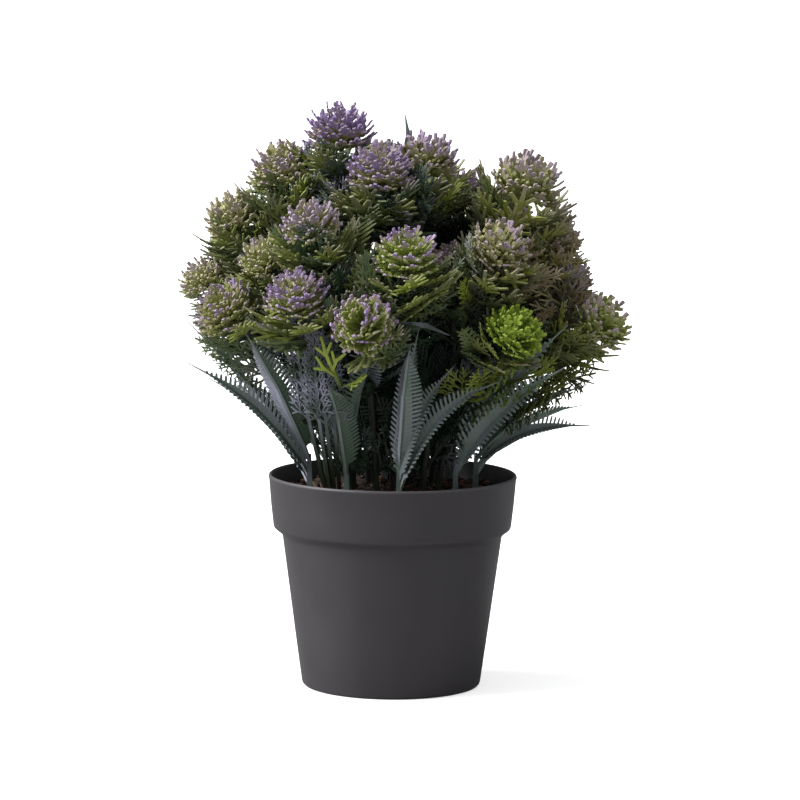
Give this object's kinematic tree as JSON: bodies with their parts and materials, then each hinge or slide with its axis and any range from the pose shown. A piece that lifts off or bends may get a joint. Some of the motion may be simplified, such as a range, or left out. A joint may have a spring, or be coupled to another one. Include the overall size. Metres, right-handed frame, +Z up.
{
  "type": "potted artificial lavender",
  "caption": "Bushy artificial lavender with dome-shaped lilac-tipped flower heads and comb-edged leaves, standing in a tapered round plastic pot.",
  "frame": {"origin": "centre of the pot's flat underside", "axes": "+Z up along the pot's axis; the front that the picture shows faces -Y; +X is the right-hand side in the picture"},
  "size_m": [0.2179, 0.2086, 0.2842],
  "materials": {
    "pot": "matte dark grey moulded plastic",
    "soil": "rough dark brown foam with bark chips",
    "stem": "satin dark green moulded plastic",
    "comb_leaf": "satin blue-green moulded plastic with a lilac dusting",
    "flower_head": "satin moulded plastic, yellow-green at the base with lilac sprayed tips"
  },
  "bodies": {
    "root": {"pot": "pot", "soil": "soil", "stem_crown": "stem", "stem_left": "stem", "stem_front_left": "stem", "stem_front": "stem", "stem_front_right": "stem", "stem_right": "stem", "stem_back_right": "stem", "stem_back": "stem", "stem_back_left": "stem", "stem_left_back": "stem", "comb_leaves_left": "comb_leaf", "comb_leaves_front_left": "comb_leaf", "comb_leaves_front": "comb_leaf", "comb_leaves_front_right": "comb_leaf", "comb_leaves_right": "comb_leaf", "comb_leaves_back_right": "comb_leaf", "comb_leaves_back": "comb_leaf", "comb_leaves_back_left": "comb_leaf", "head_crown_tip": "flower_head", "head_crown_front": "flower_head", "head_crown_right": "flower_head", "head_crown_back": "flower_head", "head_left_high": "flower_head", "head_left_mid": "flower_head", "head_left_low": "flower_head", "head_front_left_high": "flower_head", "head_front_left_low": "flower_head", "head_front_high": "flower_head", "head_front_side": "flower_head", "head_front_low": "flower_head", "head_front_mid": "flower_head", "head_front_right_high": "flower_head", "head_front_right_inner": "flower_head", "head_front_right_low": "flower_head", "head_right_high": "flower_head", "head_right_mid": "flower_head", "head_right_low": "flower_head", "head_right_back": "flower_head", "head_back_right_inner": "flower_head", "head_back_right_high": "flower_head", "head_back_right_mid": "flower_head", "head_back_right_low": "flower_head", "head_back_high": "flower_head", "head_back_mid": "flower_head", "head_back_low": "flower_head", "head_back_left_high": "flower_head", "head_back_left_low": "flower_head", "head_left_back_high": "flower_head", "head_left_back_mid": "flower_head", "head_left_back_low": "flower_head", "head_left_back_side": "flower_head"}
  },
  "joints": []
}
